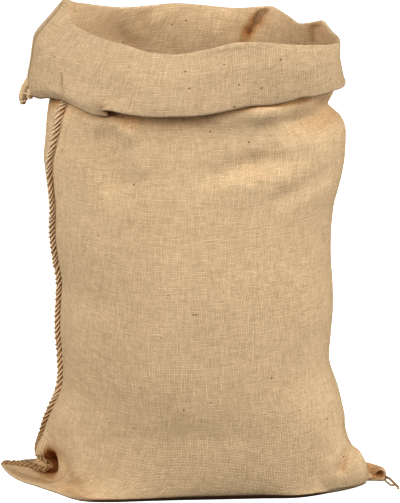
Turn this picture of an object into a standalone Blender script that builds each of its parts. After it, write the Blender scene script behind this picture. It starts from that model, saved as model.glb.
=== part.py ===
"""Jute sack standing open, with its mouth turned down once into a cuff.

Units are metres, +Z is up, and the sack stands on z = 0. +X runs to its folded right side and -X to
its sewn left side; its front faces -Y. The cloth is one surface of threads: a column is a thread that
starts at the floor's seam, runs under the sack, climbs the wall, turns over at the mouth and ends at
the cuff's hem. Column 0 is the left side seam, and the columns go over the front to the right side.
"""
import bmesh
import bpy
import numpy as np

# ---------------------------------------------------------------- sizes
THICKNESS = 0.002        # one layer of jute cloth
COLUMNS = 72             # even, so that the front half and the back half meet at the floor's seam
SIDE_CROWDING = 0.024    # share of the girth by which columns crowd towards the two sides
GIRTH = 1.200            # round the mouth, the panel's width
FOLD_RADIUS = 0.0045     # inside the cuff's fold at the mouth
EAR_FOLD = 0.003         # half height of the pressed fold round an ear
EAR_REACH = 0.030        # the floor reaches this far past the wall where it counts as all ear
UNDERCUT = 0.006         # how far the floor's edge draws in under the front and the back
FRONT_RISE = 0.008       # where the front and the back have rounded up from the floor
FRONT_BELLY = 0.001      # how far they stand out past the floor's edge there
CORNER_HEIGHT = 0.100    # where the lower corners have become upright wall
CORNER_LIFT = 0.012      # how high the corner curve's middle point stands
EAR_SPREAD = 0.042       # girth over which a side thread's own path fades into its neighbours
TURN_SPREAD = 0.200      # girth over which the seam's swing to the front fades
FLOOR_ROWS = 3
CORNER_ROWS = 8
NECK_ROWS = 3
FOLD_ROWS = 3
CUFF_ROWS = 6
BULGE_HEIGHT = 0.8       # under 1, the cuff bulges most above its middle
OUTLINE_STEPS = 400      # points by which half a wall section is measured
SEAM_GAP = 0.0004        # air between the cloth and what is sewn to it
SEAM_HALF_WIDTH = 0.0026
SEAM_HALF_HEIGHT = 0.0038
SEAM_SIDES = 8
SEAM_STEP = 0.008
SEAM_EASING = 6          # rounds of smoothing of a seam's centre line
SEAM_LIFT = 2.2          # how much of what the smoothing sinks is given back
SEAM_END_SIZE = 0.6
TAB_SPREAD = 2.0         # how much wider the tab is than the seam

# ---------------------------------------------------------------- shape tables
# Outline of the floor, from the left ear's tip to the right one, in front and behind.
PLAN_FIELDS = ("x", "y")
FLOOR_FRONT = (
    (-0.302, 0.028),
    (-0.293, -0.004),
    (-0.270, -0.048),
    (-0.245, -0.078),
    (-0.212, -0.108),
    (-0.168, -0.137),
    (-0.100, -0.147),
    (0.000, -0.147),
    (0.090, -0.142),
    (0.165, -0.133),
    (0.205, -0.112),
    (0.236, -0.091),
    (0.258, -0.074),
    (0.268, -0.053),
    (0.281, -0.048),
    (0.292, -0.046),
    (0.294, -0.038),
)
FLOOR_BACK = (
    (-0.302, 0.028),
    (-0.280, 0.033),
    (-0.254, 0.035),
    (-0.236, 0.048),
    (-0.214, 0.080),
    (-0.165, 0.122),
    (-0.090, 0.139),
    (0.010, 0.142),
    (0.100, 0.138),
    (0.165, 0.120),
    (0.210, 0.088),
    (0.244, 0.050),
    (0.270, 0.006),
    (0.286, -0.024),
    (0.294, -0.038),
)
FLOOR_SEAM = ((-0.295, 0.026), (0.287, -0.037))

# Level sections of the wall. left_y and right_y say where the two sides stand, and turn is how far
# the side seam has swung round to the front.
WALL_FIELDS = ("height", "left_x", "left_y", "right_x", "right_y", "front_y", "back_y",
               "squareness", "turn")
WALL_TABLE = (
    (0.100, -0.224, 0.004, 0.234, -0.022, -0.150, 0.150, 2.30, 0.000),
    (0.138, -0.203, 0.004, 0.225, -0.014, -0.155, 0.155, 2.30, 0.000),
    (0.185, -0.206, 0.003, 0.210, -0.008, -0.158, 0.158, 2.30, 0.000),
    (0.230, -0.209, 0.002, 0.212, -0.003, -0.158, 0.158, 2.30, 0.000),
    (0.272, -0.205, 0.000, 0.215, 0.000, -0.158, 0.158, 2.35, 0.000),
    (0.308, -0.201, 0.000, 0.214, 0.000, -0.157, 0.157, 2.35, 0.000),
    (0.350, -0.207, 0.000, 0.211, 0.000, -0.155, 0.156, 2.40, 0.005),
    (0.391, -0.213, 0.000, 0.211, 0.000, -0.153, 0.155, 2.40, 0.012),
    (0.435, -0.218, 0.000, 0.215, 0.000, -0.151, 0.153, 2.40, 0.022),
    (0.475, -0.222, 0.000, 0.225, 0.000, -0.149, 0.151, 2.40, 0.032),
    (0.512, -0.228, 0.000, 0.232, 0.000, -0.145, 0.148, 2.35, 0.042),
    (0.545, -0.227, 0.000, 0.234, 0.000, -0.142, 0.146, 2.35, 0.052),
    (0.568, -0.225, 0.000, 0.225, 0.002, -0.139, 0.144, 2.35, 0.060),
    (0.590, -0.222, 0.000, 0.204, 0.006, -0.137, 0.142, 2.40, 0.068),
)

# The two side threads between the floor and the wall, where the sack's corners lie out as ears.
POINT_FIELDS = ("x", "y", "z")
LEFT_EAR = (
    (-0.302, 0.027, 0.006),
    (-0.281, 0.010, 0.008),
    (-0.256, -0.014, 0.008),
    (-0.234, -0.036, 0.009),
    (-0.228, -0.038, 0.017),
    (-0.234, -0.028, 0.030),
    (-0.241, -0.016, 0.040),
    (-0.235, -0.004, 0.056),
    (-0.231, 0.002, 0.080),
    (-0.224, 0.004, 0.100),
)
RIGHT_EAR = (
    (0.296, -0.038, 0.008),
    (0.292, -0.034, 0.017),
    (0.282, -0.031, 0.022),
    (0.272, -0.031, 0.022),
    (0.265, -0.031, 0.028),
    (0.254, -0.030, 0.045),
    (0.242, -0.027, 0.062),
    (0.236, -0.024, 0.080),
    (0.234, -0.022, 0.100),
)

# The cuff's fold round the mouth, from the side seam over the front. bulge is how far the cuff
# below each point stands out from the straight line down to the hem.
RIM_FIELDS = ("x", "y", "z", "bulge")
RIM_TABLE = (
    (-0.196, 0.014, 0.745, 0.024),    # peak, held up by the stiff side seam
    (-0.187, -0.018, 0.725, 0.021),
    (-0.172, -0.048, 0.716, 0.014),
    (-0.148, -0.080, 0.712, 0.009),
    (-0.120, -0.108, 0.707, 0.006),
    (-0.080, -0.134, 0.701, 0.004),
    (-0.032, -0.148, 0.698, 0.004),   # lowest of the front
    (0.027, -0.149, 0.705, 0.004),
    (0.065, -0.146, 0.713, 0.004),
    (0.113, -0.140, 0.712, 0.004),
    (0.162, -0.126, 0.706, 0.004),
    (0.197, -0.104, 0.703, 0.002),
    (0.212, -0.070, 0.703, 0.000),    # right corner of the front
    (0.204, -0.018, 0.705, 0.002),
    (0.190, 0.032, 0.709, 0.006),     # far corner
    (0.177, 0.054, 0.704, 0.010),
    (0.165, 0.074, 0.698, 0.012),     # dent in the far side
    (0.144, 0.110, 0.700, 0.008),
    (0.118, 0.143, 0.708, 0.004),     # back corner
    (0.070, 0.143, 0.708, 0.004),
    (0.010, 0.148, 0.709, 0.004),
    (-0.050, 0.150, 0.710, 0.004),
    (-0.108, 0.140, 0.712, 0.006),
    (-0.148, 0.108, 0.720, 0.010),
    (-0.178, 0.062, 0.735, 0.018),
)
HEM_TABLE = (
    (-0.250, 0.004, 0.606),           # at the side seam
    (-0.237, -0.030, 0.603),
    (-0.218, -0.060, 0.610),
    (-0.199, -0.084, 0.609),
    (-0.172, -0.110, 0.601),
    (-0.147, -0.128, 0.597),
    (-0.130, -0.132, 0.600),          # small tuck
    (-0.112, -0.148, 0.606),
    (-0.060, -0.162, 0.607),
    (0.010, -0.166, 0.609),
    (0.070, -0.163, 0.617),
    (0.120, -0.155, 0.623),
    (0.165, -0.140, 0.629),
    (0.198, -0.115, 0.630),
    (0.219, -0.078, 0.630),
    (0.224, -0.030, 0.627),
    (0.219, 0.020, 0.624),
    (0.205, 0.066, 0.620),
    (0.183, 0.108, 0.616),
    (0.146, 0.148, 0.612),
    (0.080, 0.166, 0.608),
    (0.010, 0.170, 0.606),
    (-0.070, 0.170, 0.604),
    (-0.140, 0.155, 0.602),
    (-0.196, 0.116, 0.600),
    (-0.236, 0.060, 0.598),
)

# Soft creases of the wall, each a straight line in the front view. side is -1 on the front and 1 on
# the back; rise is how far the cloth stands out there, and is negative in a trough.
CREASE_FIELDS = ("side", "x1", "z1", "x2", "z2", "half_width", "rise")
CREASE_TABLE = (
    (-1, -0.128, 0.570, -0.078, 0.492, 0.022, 0.006),     # ridge under the left of the cuff
    (-1, -0.150, 0.520, -0.120, 0.440, 0.030, -0.004),
    (-1, 0.030, 0.478, 0.163, 0.494, 0.020, -0.004),      # level trough under the chest
    (-1, 0.194, 0.474, 0.137, 0.441, 0.018, -0.005),
    (-1, 0.165, 0.588, 0.215, 0.586, 0.010, -0.006),      # neck under the right of the cuff
    (-1, 0.239, 0.040, 0.225, 0.004, 0.012, -0.005),      # beside the right ear
    (1, 0.150, 0.560, 0.040, 0.480, 0.030, -0.006),       # the back's slack, left of its middle
    (1, -0.090, 0.420, -0.150, 0.300, 0.035, -0.006),
    (1, 0.120, 0.160, 0.060, 0.060, 0.030, -0.005),
    (1, -0.040, 0.560, -0.110, 0.540, 0.025, 0.005),
)

# Past the hem the cuff's seam ends in a small tab.
SEAM_TAB = (
    (-0.2475, 0.004, 0.5965),
    (-0.2570, 0.005, 0.5945),
    (-0.2660, 0.005, 0.5900),
)

# The loose twine's route, from the right ear to its frayed end on the ground.
TAIL_ROUTE = (
    (0.2964, -0.0402, 0.0045),
    (0.3015, -0.0465, 0.0042),
    (0.3052, -0.0535, 0.0028),
    (0.3085, -0.0620, 0.0014),
    (0.3115, -0.0720, 0.0014),
    (0.3145, -0.0820, 0.0014),
    (0.3150, -0.0910, 0.0014),
)
TAIL_DIAMETER = 0.002
TAIL_STEP = 0.004


# ---------------------------------------------------------------- curves
def named(fields, table):
    """The table's columns by name."""
    return dict(zip(fields, np.array(table, dtype=float).T))


def smooth_through(knots, values, wanted, closed=False):
    """Read a smooth curve through the values, given at growing knots, at each wanted place."""
    knots = np.asarray(knots, dtype=float)
    values = np.asarray(values, dtype=float)
    if closed:
        period = knots[-1] - knots[0]
        knots = np.concatenate(([knots[-2] - period], knots, [knots[1] + period]))
        values = np.concatenate((values[-2:-1], values, values[1:2]))
    slopes = np.gradient(values, knots, axis=0)
    wanted = np.asarray(wanted, dtype=float)
    left = np.clip(np.searchsorted(knots, wanted, side="right") - 1, 0, len(knots) - 2)
    span = knots[left + 1] - knots[left]
    t = (wanted - knots[left]) / span
    extra = (slice(None),) + (None,) * (values.ndim - 1)
    t = t[extra]
    span = span[extra]
    return ((2 * t**3 - 3 * t**2 + 1) * values[left] + (t**3 - 2 * t**2 + t) * span * slopes[left]
            + (3 * t**2 - 2 * t**3) * values[left + 1] + (t**3 - t**2) * span * slopes[left + 1])


def distances(points):
    """How far along the line each point lies, starting from 0."""
    steps = np.linalg.norm(np.diff(points, axis=0), axis=1)
    return np.concatenate(([0.0], np.cumsum(steps)))


def along_line(points, shares):
    """Points of the smooth line at the given shares of its length."""
    points = np.asarray(points, dtype=float)
    way = distances(points)
    return smooth_through(way, points, np.asarray(shares) * way[-1])


def round_loop(points, shares):
    """Points of the smooth closed loop at the given shares of its level length."""
    points = np.asarray(points, dtype=float)
    points = np.concatenate((points, points[:1]))
    way = distances(points[:, :2])
    return smooth_through(way, points, np.asarray(shares) * way[-1], closed=True)


def level_outward(loop):
    """Level unit directions that point out of a closed loop, which runs anticlockwise from above."""
    tangent = np.roll(loop, -1, axis=0) - np.roll(loop, 1, axis=0)
    outward = np.stack((tangent[:, 1], -tangent[:, 0], np.zeros(len(loop))), axis=1)
    return outward / np.linalg.norm(outward, axis=1, keepdims=True)


# ---------------------------------------------------------------- the cloth's surface
def column_shares():
    """Where each column stands round the girth, from 0 to 1, closer together at the two sides."""
    even = np.arange(COLUMNS) / COLUMNS
    return even - SIDE_CROWDING * np.sin(4 * np.pi * even)


def side_distance(shares, side):
    """Girth in metres between each column and the side at the given share."""
    apart = np.abs(shares - side)
    return np.minimum(apart, 1 - apart) * GIRTH


def wall_section(height, shares):
    """A level section of the wall: two half superellipses that meet at the side threads."""
    wall = named(WALL_FIELDS, WALL_TABLE)
    rows = np.stack([wall[name] for name in WALL_FIELDS[1:]], axis=1)
    values = smooth_through(wall["height"], rows, np.array([height]))[0]
    section = dict(zip(WALL_FIELDS[1:], values))
    turned = shares + section["turn"] / GIRTH * np.exp(-(side_distance(shares, 0) / TURN_SPREAD) ** 2)
    turned = turned % 1.0
    angle = np.linspace(0, np.pi, OUTLINE_STEPS)
    across = np.sign(np.cos(angle)) * np.abs(np.cos(angle)) ** (2 / section["squareness"])
    away = np.sin(angle) ** (2 / section["squareness"])
    middle_x = (section["left_x"] + section["right_x"]) / 2
    half_width = (section["right_x"] - section["left_x"]) / 2
    middle_y = (section["left_y"] + section["right_y"]) / 2
    slope_y = (section["right_y"] - section["left_y"]) / 2
    points = np.zeros((len(shares), 3))
    for first_half, depth in ((True, section["front_y"]), (False, section["back_y"])):
        here = turned <= 0.5 if first_half else turned > 0.5
        run = -across if first_half else across
        line = np.stack((middle_x + half_width * run,
                         middle_y + slope_y * run + (depth - middle_y) * away), axis=1)
        way = distances(line)
        wanted = (turned[here] - (0 if first_half else 0.5)) * 2 * way[-1]
        points[here, 0] = np.interp(wanted, way, line[:, 0])
        points[here, 1] = np.interp(wanted, way, line[:, 1])
    points[:, 2] = height
    return points


def floor_outline(shares):
    """The floor's edge and the point of the floor's seam from which each column starts."""
    edge = np.zeros((len(shares), 3))
    start = np.zeros((len(shares), 3))
    ends = np.array(FLOOR_SEAM)
    front = shares <= 0.5
    across = np.where(front, shares * 2, 2 - shares * 2)
    edge[front, :2] = along_line(FLOOR_FRONT, across[front])
    edge[~front, :2] = along_line(FLOOR_BACK, across[~front])
    start[:, :2] = ends[0] + (ends[1] - ends[0]) * across[:, None]
    return edge, start


def lower_rows(shares):
    """Rows under the sack, round the fold at the floor's edge, and up the rounded corner."""
    edge, start = floor_outline(shares)
    foot = wall_section(CORNER_HEIGHT, shares)
    outward = edge - start
    outward = outward / np.linalg.norm(outward, axis=1, keepdims=True)
    up = np.array((0.0, 0.0, 1.0))
    overhang = np.sum((edge - foot) * outward, axis=1, keepdims=True)
    ear = np.clip(overhang / EAR_REACH, 0, 1)
    ear = ear * ear * (3 - 2 * ear)
    contact = edge - outward * UNDERCUT * (1 - ear)
    rows = [start + (contact - start) * share for share in np.linspace(0, 1, FLOOR_ROWS + 1)]
    rows.append(edge + outward * (EAR_FOLD * ear - UNDERCUT / 4 * (1 - ear)) + up * EAR_FOLD)
    pressed = edge + outward * FRONT_BELLY * (1 - ear) + up * (2 * EAR_FOLD * ear + FRONT_RISE * (1 - ear))
    bend = foot * (1, 1, 0) + up * CORNER_LIFT
    steps = np.linspace(0, 1, CORNER_ROWS + 1)
    left_path = along_line(LEFT_EAR, steps)
    right_path = along_line(RIGHT_EAR, steps)
    near_left = np.exp(-(side_distance(shares, 0) / EAR_SPREAD) ** 2)[:, None]
    near_right = np.exp(-(side_distance(shares, 0.5) / EAR_SPREAD) ** 2)[:, None]
    left, right = 0, int(np.argmin(side_distance(shares, 0.5)))
    for step, left_point, right_point in zip(steps, left_path, right_path):
        row = (1 - step) ** 2 * pressed + 2 * step * (1 - step) * bend + step**2 * foot
        row = row + near_left * (left_point - row[left]) + near_right * (right_point - row[right])
        rows.append(row)
    return rows


def upper_rows(shares):
    """Rows up the neck to the mouth, over its fold, and down the cuff to the hem."""
    rim = named(RIM_FIELDS, RIM_TABLE)
    loop = round_loop(np.stack([rim[name] for name in RIM_FIELDS], axis=1), shares)
    bulge = loop[:, 3:]
    loop = loop[:, :3]
    hem = round_loop(HEM_TABLE, shares)
    neck = wall_section(WALL_TABLE[-1][0], shares)
    outward = level_outward(loop)
    up = np.array((0.0, 0.0, 1.0))
    centre = loop - up * FOLD_RADIUS
    mouth = centre - outward * FOLD_RADIUS
    rows = [neck + (mouth - neck) * share for share in np.linspace(0, 1, NECK_ROWS + 1)[1:]]
    for turn in np.linspace(0, np.pi, FOLD_ROWS + 1)[1:]:
        rows.append(centre + FOLD_RADIUS * (up * np.sin(turn) - outward * np.cos(turn)))
    shoulder = rows[-1]
    for share in np.linspace(0, 1, CUFF_ROWS + 1)[1:]:
        belly = bulge * np.sin(np.pi * share**BULGE_HEIGHT)
        rows.append(shoulder + (hem - shoulder) * share + outward * belly)
    return rows


def add_creases(grid):
    """Raise and sink the wall along the creases, most on their lines."""
    wall = grid[FLOOR_ROWS + 2:FLOOR_ROWS + 2 + CORNER_ROWS + len(WALL_TABLE)]
    x, y, z = wall[:, :, 0], wall[:, :, 1], wall[:, :, 2]
    moved = np.zeros(x.shape)
    for row in CREASE_TABLE:
        crease = dict(zip(CREASE_FIELDS, row))
        span = np.array((crease["x2"] - crease["x1"], crease["z2"] - crease["z1"]))
        share = ((x - crease["x1"]) * span[0] + (z - crease["z1"]) * span[1]) / (span @ span)
        share = np.clip(share, 0, 1)
        apart = np.hypot(x - crease["x1"] - share * span[0], z - crease["z1"] - share * span[1])
        here = np.exp(-(apart / crease["half_width"]) ** 2) * (y * crease["side"] > 0)
        moved += crease["side"] * crease["rise"] * here
    wall[:, :, 1] += moved


def cloth_grid():
    """The outer face of the cloth, rows by columns, from the floor's seam to the hem."""
    shares = column_shares()
    rows = lower_rows(shares)
    for height in named(WALL_FIELDS, WALL_TABLE)["height"][1:]:
        rows.append(wall_section(height, shares))
    rows.extend(upper_rows(shares))
    grid = np.array(rows)
    add_creases(grid)
    return grid


# ---------------------------------------------------------------- objects
def plain_material(name, colour, roughness):
    """A matt Principled material."""
    material = bpy.data.materials.new(name)
    material.use_nodes = True
    shader = material.node_tree.nodes["Principled BSDF"]
    shader.inputs["Base Color"].default_value = (*colour, 1.0)
    shader.inputs["Roughness"].default_value = roughness
    shader.inputs["Metallic"].default_value = 0.0
    return material


def add_object(name, vertices, faces, material):
    """A smooth-shaded mesh object with its place in its mesh."""
    mesh = bpy.data.meshes.new(name)
    mesh.from_pydata([tuple(point) for point in vertices], [], faces)
    mesh.materials.append(material)
    mesh.shade_smooth()
    piece = bpy.data.objects.new(name, mesh)
    bpy.context.scene.collection.objects.link(piece)
    return piece


def make_cloth(grid, material):
    """The sack's one panel: its outer face as a grid, closed along the floor's seam, then thickened."""
    row_count = len(grid)
    half = COLUMNS // 2
    vertices = list(grid[0, :half + 1]) + list(grid[1:].reshape(-1, 3))

    def index(row, column):
        column = column % COLUMNS
        if row == 0:
            return min(column, COLUMNS - column)
        return half + 1 + (row - 1) * COLUMNS + column

    faces = []
    for row in range(row_count - 1):
        for column in range(COLUMNS):
            faces.append((index(row, column), index(row, column + 1),
                          index(row + 1, column + 1), index(row + 1, column)))
    cloth = add_object("sack_cloth", vertices, faces, material)
    solid = cloth.modifiers.new("cloth thickness", "SOLIDIFY")
    solid.thickness = THICKNESS
    solid.offset = -1.0
    solid.use_even_offset = False
    return cloth


def tube_faces(ring_count, sides):
    """Side faces between rings of points, and a face at each end."""
    faces = []
    for ring in range(ring_count - 1):
        for side in range(sides):
            following = (side + 1) % sides
            faces.append((ring * sides + side, ring * sides + following,
                          (ring + 1) * sides + following, (ring + 1) * sides + side))
    faces.append(tuple(range(sides - 1, -1, -1)))
    last = (ring_count - 1) * sides
    faces.append(tuple(range(last, last + sides)))
    return faces


def seam_line(grid, rows):
    """The side seam's line over the given rows of column 0, and the cloth's outward directions there."""
    along = grid[rows, 0]
    around = grid[rows, 2] - grid[rows, -2]
    upward = np.gradient(along, axis=0)
    outward = np.cross(around, upward)
    outward /= np.linalg.norm(outward, axis=1, keepdims=True)
    way = distances(along)
    places = np.linspace(0, way[-1], int(way[-1] / SEAM_STEP) + 1)
    line = np.stack([np.interp(places, way, along[:, axis]) for axis in range(3)], axis=1)
    facing = np.stack([np.interp(places, way, outward[:, axis]) for axis in range(3)], axis=1)
    return line, facing / np.linalg.norm(facing, axis=1, keepdims=True)


def eased(line, rounds):
    """The same line with its corners rounded."""
    for _ in range(rounds):
        line = np.concatenate((line[:1], (line[:-2] + 2 * line[1:-1] + line[2:]) / 4, line[-1:]))
    return line


def with_tab(line, facing):
    """The cuff's seam line, run on past the hem along the tab's route."""
    tab = np.concatenate((line[-1:], np.array(SEAM_TAB)))
    count = int(distances(tab)[-1] / SEAM_STEP) + 2
    beyond = along_line(tab, np.linspace(0, 1, count)[1:])
    return (np.concatenate((line, beyond)),
            np.concatenate((facing, np.repeat(facing[-1:], len(beyond), axis=0))), len(beyond))


def make_seam(name, line, facing, material, tab_count=0):
    """An overcast seam: a bead that stands on the cloth, clear of it by the gap, wider at its tab."""
    placed = line + facing * (SEAM_GAP + SEAM_HALF_HEIGHT)
    centre = eased(placed, SEAM_EASING)
    sunk = np.minimum(0, np.sum((centre - placed) * facing, axis=1, keepdims=True))
    centre = eased(centre - facing * sunk * SEAM_LIFT, 1)
    tangent = np.gradient(centre, axis=0)
    tangent /= np.linalg.norm(tangent, axis=1, keepdims=True)
    facing = eased(facing, SEAM_EASING)
    outward = facing - tangent * np.sum(facing * tangent, axis=1, keepdims=True)
    outward /= np.linalg.norm(outward, axis=1, keepdims=True)
    across = np.cross(outward, tangent)
    size = np.ones((len(centre), 1, 1))
    size[[0, -1]] = SEAM_END_SIZE
    spread = np.ones((len(centre), 1, 1))
    if tab_count:
        spread[-tab_count:] = TAB_SPREAD
    angle = np.arange(SEAM_SIDES) * 2 * np.pi / SEAM_SIDES
    wide = SEAM_HALF_WIDTH * spread * np.cos(angle)[None, :, None] * across[:, None]
    high = SEAM_HALF_HEIGHT * np.sin(angle)[None, :, None] * outward[:, None]
    rings = centre[:, None] + size * (wide + high)
    return add_object(name, rings.reshape(-1, 3), tube_faces(len(centre), SEAM_SIDES), material)


def make_tail(material):
    """The loose end of the floor seam's sewing twine, from the right ear down to the ground."""
    way = distances(np.array(TAIL_ROUTE))[-1]
    points = along_line(TAIL_ROUTE, np.linspace(0, 1, int(way / TAIL_STEP) + 1))
    curve = bpy.data.curves.new("twine_tail", "CURVE")
    curve.dimensions = "3D"
    curve.bevel_depth = TAIL_DIAMETER / 2
    curve.bevel_resolution = 2
    curve.use_fill_caps = True
    spline = curve.splines.new("POLY")
    spline.points.add(len(points) - 1)
    spline.points.foreach_set("co", np.column_stack((points, np.ones(len(points)))).ravel())
    curve.materials.append(material)
    tail = bpy.data.objects.new("twine_tail", curve)
    bpy.context.scene.collection.objects.link(tail)
    return tail


def main():
    for old in list(bpy.data.objects):
        bpy.data.objects.remove(old, do_unlink=True)
    jute = plain_material("jute cloth", (0.60, 0.42, 0.25), 0.95)
    seam_twine = plain_material("seam twine", (0.54, 0.38, 0.21), 0.90)
    tail_twine = plain_material("loose twine", (0.60, 0.44, 0.30), 0.90)
    grid = cloth_grid()
    make_cloth(grid, jute)
    pressed_row = FLOOR_ROWS + 2
    neck_row = pressed_row + CORNER_ROWS + len(WALL_TABLE) - 1
    fold_row = neck_row + NECK_ROWS + FOLD_ROWS
    line, facing = seam_line(grid, slice(pressed_row, neck_row + NECK_ROWS))
    make_seam("side_seam_body", line, facing, seam_twine)
    line, facing = seam_line(grid, slice(fold_row + 1, None))
    line, facing, tab_count = with_tab(line, facing)
    make_seam("side_seam_cuff", line, facing, seam_twine, tab_count)
    make_tail(tail_twine)


main()
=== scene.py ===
import math

import bpy
import numpy as np
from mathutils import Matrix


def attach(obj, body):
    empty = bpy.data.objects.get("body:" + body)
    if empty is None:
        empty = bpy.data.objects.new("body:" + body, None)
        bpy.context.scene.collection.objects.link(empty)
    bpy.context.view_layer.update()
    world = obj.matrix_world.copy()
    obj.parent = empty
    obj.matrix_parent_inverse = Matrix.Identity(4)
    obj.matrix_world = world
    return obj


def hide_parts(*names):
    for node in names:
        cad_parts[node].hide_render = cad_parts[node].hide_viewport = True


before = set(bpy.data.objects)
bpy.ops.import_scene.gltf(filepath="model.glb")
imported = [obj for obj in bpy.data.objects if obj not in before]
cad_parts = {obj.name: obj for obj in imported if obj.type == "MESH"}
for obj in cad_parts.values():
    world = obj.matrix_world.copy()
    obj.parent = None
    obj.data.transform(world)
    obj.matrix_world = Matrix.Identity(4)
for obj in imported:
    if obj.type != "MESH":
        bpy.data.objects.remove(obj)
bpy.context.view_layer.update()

# A jute sack, standing open with its mouth turned down once. Metres, +Z up; the sewn side is at -X.
print("frame loaded")


# Curves and grids, shared by all the pieces.

# A smooth curve through values at growing knots: cubic pieces whose slopes are the neighbours' mean.
def smoothThrough(knots, values, wanted, closed=False):
    knots = np.asarray(knots, dtype=float)
    values = np.asarray(values, dtype=float)
    if closed:
        period = knots[-1] - knots[0]
        knots = np.concatenate(([knots[-2] - period], knots, [knots[1] + period]))
        values = np.concatenate((values[-2:-1], values, values[1:2]))
    slopes = np.gradient(values, knots, axis=0)
    wanted = np.asarray(wanted, dtype=float)
    left = np.clip(np.searchsorted(knots, wanted, side="right") - 1, 0, len(knots) - 2)
    extra = (slice(None),) + (None,) * (values.ndim - 1)
    span = (knots[left + 1] - knots[left])[extra]
    t = ((wanted - knots[left]) / (knots[left + 1] - knots[left]))[extra]
    return ((2 * t**3 - 3 * t**2 + 1) * values[left] + (t**3 - 2 * t**2 + t) * span * slopes[left]
            + (3 * t**2 - 2 * t**3) * values[left + 1] + (t**3 - t**2) * span * slopes[left + 1])


# How far along a line each of its points lies.
def wayAlong(points):
    steps = np.linalg.norm(np.diff(points, axis=0), axis=1)
    return np.concatenate(([0.0], np.cumsum(steps)))


# Points of the smooth line at shares of its length.
def alongLine(points, shares):
    points = np.asarray(points, dtype=float)
    way = wayAlong(points)
    return smoothThrough(way, points, np.asarray(shares) * way[-1])


# Points of the smooth closed loop at shares of its level length.
def roundLoop(points, shares):
    points = np.asarray(points, dtype=float)
    points = np.concatenate((points, points[:1]))
    way = wayAlong(points[:, :2])
    return smoothThrough(way, points, np.asarray(shares) * way[-1], closed=True)


# Each vector over its own length.
def unit(vectors):
    return vectors / np.linalg.norm(vectors, axis=-1, keepdims=True)


# Each column of the values, read in straight lines between its knots.
def linearAt(wanted, knots, values):
    return np.stack([np.interp(wanted, knots, column) for column in values.T], axis=-1)


# Rings about the points of a line: size * (first * cos + second * sin) of the angle round each.
def ringsAbout(line, first, second, sides, size):
    angle = (np.arange(sides) * 2 * np.pi / sides)[None, :, None]
    return line[:, None] + size[..., None] * (np.cos(angle) * first[:, None]
                                              + np.sin(angle) * second[:, None])


# Eased step from 0 to 1 as x runs from low to high.
def easedStep(x, low, high):
    t = np.clip((x - low) / (high - low), 0, 1)
    return t * t * (3 - 2 * t)


# The same line with its corners rounded, by rounds of averaging each point with its neighbours.
def eased(line, rounds):
    for _ in range(rounds):
        line = np.concatenate((line[:1], (line[:-2] + 2 * line[1:-1] + line[2:]) / 4, line[-1:]))
    return line


# A new object in the scene.
def placed(name, data):
    made = bpy.data.objects.new(name, data)
    bpy.context.scene.collection.objects.link(made)
    return made


# A mesh object at the origin from points and faces, with a UV for each face corner.
def meshPiece(name, points, faces, cornerUv, material):
    mesh = bpy.data.meshes.new(name)
    mesh.from_pydata(np.asarray(points, dtype=float).tolist(), [], faces)
    layer = mesh.uv_layers.new(name="threads")
    layer.data.foreach_set("uv", np.asarray(cornerUv, dtype=np.float32).ravel())
    mesh.materials.append(material)
    mesh.shade_smooth()
    return placed(name, mesh)


# Quads between neighbouring rows of a grid whose rows close on themselves; uv is given one column
# more than the grid has, so that the last column's corners don't run backwards.
def closedGridFaces(rowCount, columnCount):
    row, column = np.meshgrid(np.arange(rowCount - 1), np.arange(columnCount), indexing="ij")
    following = (column + 1) % columnCount
    faces = np.stack((row * columnCount + column, row * columnCount + following,
                      (row + 1) * columnCount + following, (row + 1) * columnCount + column), axis=-1)
    wide = columnCount + 1
    corners = np.stack((row * wide + column, row * wide + column + 1,
                        (row + 1) * wide + column + 1, (row + 1) * wide + column), axis=-1)
    return faces.reshape(-1, 4), corners.reshape(-1, 4)


cameraSet = {
    "aim": (0.0092, 0.0, 0.3565),
    "distance": 6.0,
    "elevation": 15.5,  # degrees above the floor
    "lens": 278.8,  # mm on 36 mm of picture height
}


# The camera stands in front of its aim, at the distance times cos and sin of the elevation.
def placeCamera(made):
    tilt = math.radians(made["elevation"])
    aim = made["aim"]
    camera = placed("camera", bpy.data.cameras.new("camera"))
    camera.location = (aim[0], aim[1] - made["distance"] * math.cos(tilt),
                       aim[2] + made["distance"] * math.sin(tilt))
    camera.rotation_euler = (math.pi / 2 - tilt, 0, 0)
    camera.data.lens = made["lens"]
    camera.data.clip_end = 100
    bpy.context.scene.camera = camera


placeCamera(cameraSet)
print("camera placed")


# One shader node with its settings and inputs; an input that is another node's output is linked.
def shaderNode(tree, kind, inputs, **settings):
    made = tree.nodes.new("ShaderNode" + kind)
    for name, value in settings.items():
        setattr(made, name, value)
    for key, value in inputs.items():
        if isinstance(value, bpy.types.NodeSocket):
            tree.links.new(value, made.inputs[key])
        else:
            made.inputs[key].default_value = value
    return made


# One sum on its values in their order; MULTIPLY_ADD is first * second + third.
def calc(tree, operation, *values):
    made = shaderNode(tree, "Math", dict(enumerate(values)), operation=operation)
    return made.outputs[0]


# From the first colour to the second by the share, or to first * second with MULTIPLY.
def mixColour(tree, share, first, second, blend="MIX"):
    made = shaderNode(tree, "Mix", {0: share, 6: first, 7: second}, data_type="RGBA", blend_type=blend)
    return made.outputs[2]


# Low to high becomes toLow to toHigh in a straight line, held at both ends.
def mapRange(tree, value, low, high, toLow, toHigh):
    made = shaderNode(tree, "MapRange", {0: value, 1: low, 2: high, 3: toLow, 4: toHigh}, clamp=True)
    return made.outputs[0]


# Soft noise about 0.5, with the scale's count of waves to a unit of the place.
def noise(tree, place, scale, detail=2.0, rough=0.5):
    made = shaderNode(tree, "TexNoise",
                      {"Vector": place, "Scale": scale, "Detail": detail, "Roughness": rough})
    return made.outputs[0]


# A place from its x and its y.
def joined(tree, x, y):
    return shaderNode(tree, "CombineXYZ", {0: x, 1: y}).outputs[0]


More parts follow.
